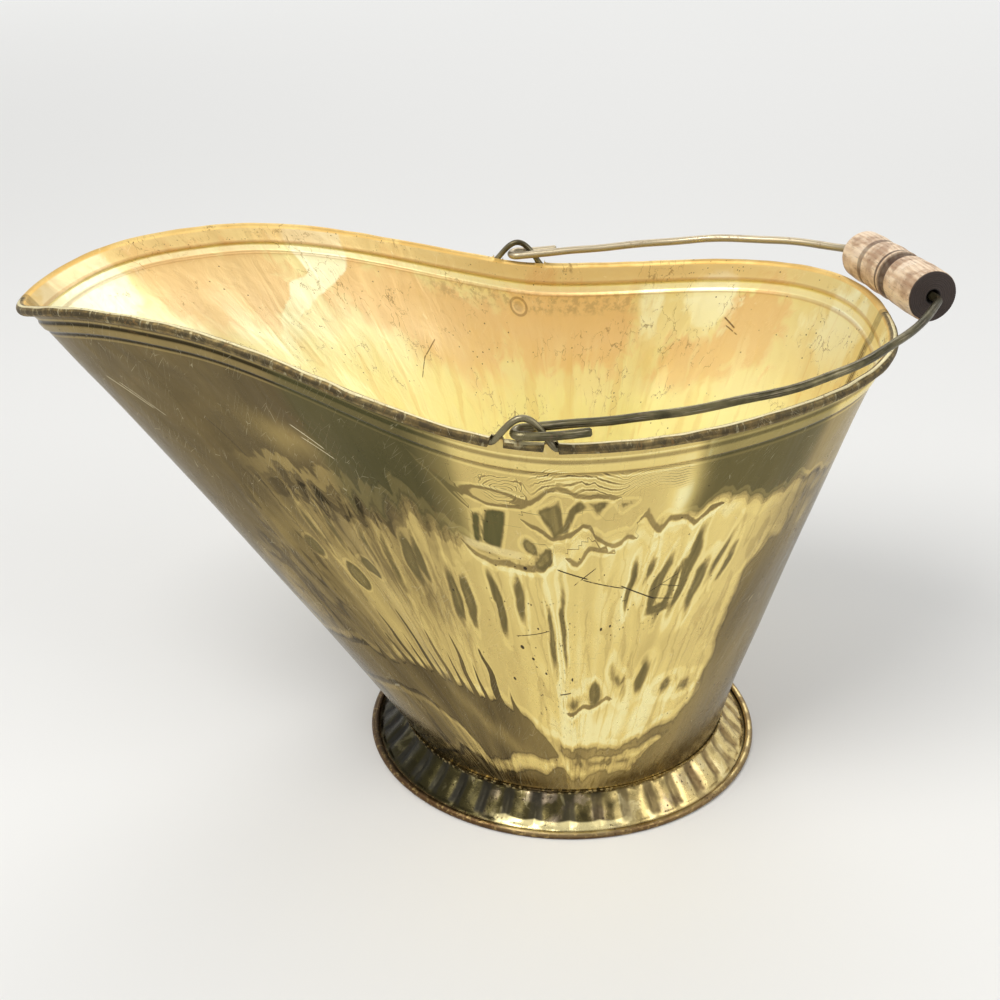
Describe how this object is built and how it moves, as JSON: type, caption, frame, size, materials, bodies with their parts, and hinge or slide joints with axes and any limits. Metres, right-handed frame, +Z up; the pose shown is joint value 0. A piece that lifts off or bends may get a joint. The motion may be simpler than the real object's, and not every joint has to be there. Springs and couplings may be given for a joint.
{
  "type": "coal scuttle",
  "caption": "Helmet-shaped brass coal scuttle with a wired rim rising to a pouring lip, a crimped round foot, wire ears and a swinging wire bail with a turned wooden grip",
  "frame": {"origin": "the middle of the foot, on the floor", "axes": "+Z up, -X towards the pouring lip, +Y towards the far side in the picture"},
  "size_m": [0.4679, 0.2556, 0.2721],
  "materials": {
    "body_brass": "worn, hand polished, scratched and stained",
    "foot_brass": "worn, tarnished in the creases",
    "iron_wire": "aged iron wire",
    "bail_wire": "dull drawn iron wire",
    "grip_wood": "worn, nearly bare turned wood"
  },
  "bodies": {
    "scuttle": {"side_panel_near": "body_brass", "side_panel_far": "body_brass", "rim_wire": "iron_wire", "bottom_pan": "body_brass", "foot_skirt": "foot_brass", "foot_wire": "iron_wire"},
    "bail": {"bail": "bail_wire"},
    "grip": {"grip": "grip_wood"}
  },
  "joints": [
    {"name": "bail_swing", "type": "hinge", "parent": "scuttle", "child": "bail", "pos_m": [-0.0303, 0, 0.23618], "axis": [0, -1, 0], "range_deg": [0, 159]},
    {"name": "grip_spin", "type": "hinge", "parent": "bail", "child": "grip", "pos_m": [0.16771, 0.02886, 0.25774], "axis": [-0.2701, 0.9624, -0.0294], "continuous": true}
  ]
}
